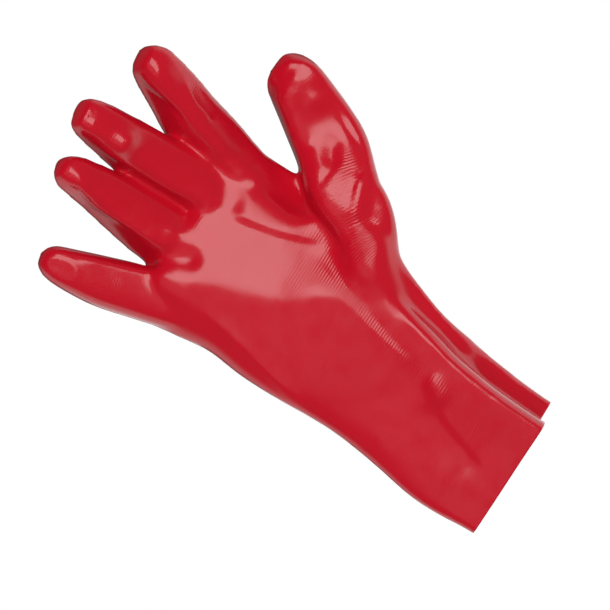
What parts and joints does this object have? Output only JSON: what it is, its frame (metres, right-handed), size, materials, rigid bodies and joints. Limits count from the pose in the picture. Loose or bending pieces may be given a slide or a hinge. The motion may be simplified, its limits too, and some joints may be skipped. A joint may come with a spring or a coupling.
{
  "type": "PVC coated work glove",
  "caption": "Gauntlet work glove for the right hand, cotton liner dipped in smooth red PVC, worn form with spread fingers and an open loose cuff",
  "frame": {"origin": "centre of the cuff's mouth, in the plane of the rim", "axes": "+Z from the cuff's mouth to the fingertips, the palm faces -Y, the thumb points to +X"},
  "size_m": [0.1498, 0.0856, 0.2589],
  "materials": {
    "glove": "smooth glossy soft PVC over knitted cotton"
  },
  "bodies": {
    "root": {"glove": "glove"}
  },
  "joints": []
}
